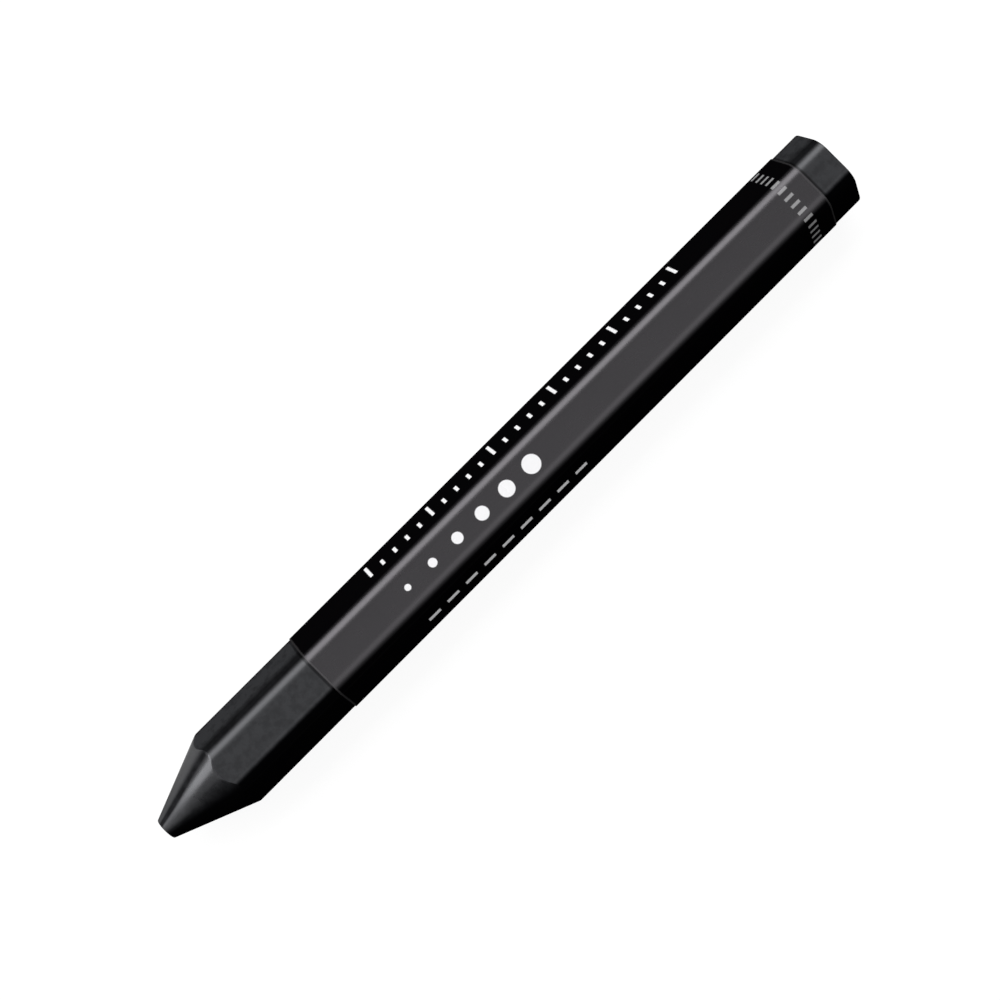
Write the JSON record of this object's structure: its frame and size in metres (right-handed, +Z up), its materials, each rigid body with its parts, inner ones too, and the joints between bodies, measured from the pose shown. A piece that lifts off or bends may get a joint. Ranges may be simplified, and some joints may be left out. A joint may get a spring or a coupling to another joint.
{
  "type": "china marker",
  "caption": "Hexagonal black wax marker with a conical point, in a lapped paper sleeve that slides along the wax to cover the point or to bare more of it.",
  "frame": {"origin": "on the surface that the marker lies on, below the middle of the stick's length and width", "axes": "+X along the stick from the point to the butt, +Z up from the flat that it lies on"},
  "size_m": [0.11, 0.011, 0.0103],
  "materials": {
    "wax": "black pigmented wax with a soft, greasy sheen",
    "paper": null,
    "glue": "dried film of dextrin glue"
  },
  "bodies": {
    "stick": {"wax_stick": "wax"},
    "sleeve": {"paper_sleeve": "paper", "seam_glue": "glue"}
  },
  "joints": [
    {"name": "sleeve_slide", "type": "slide", "parent": "stick", "child": "sleeve", "axis": [1, 0, 0], "range_m": [-0.0254, 0.0646]}
  ]
}
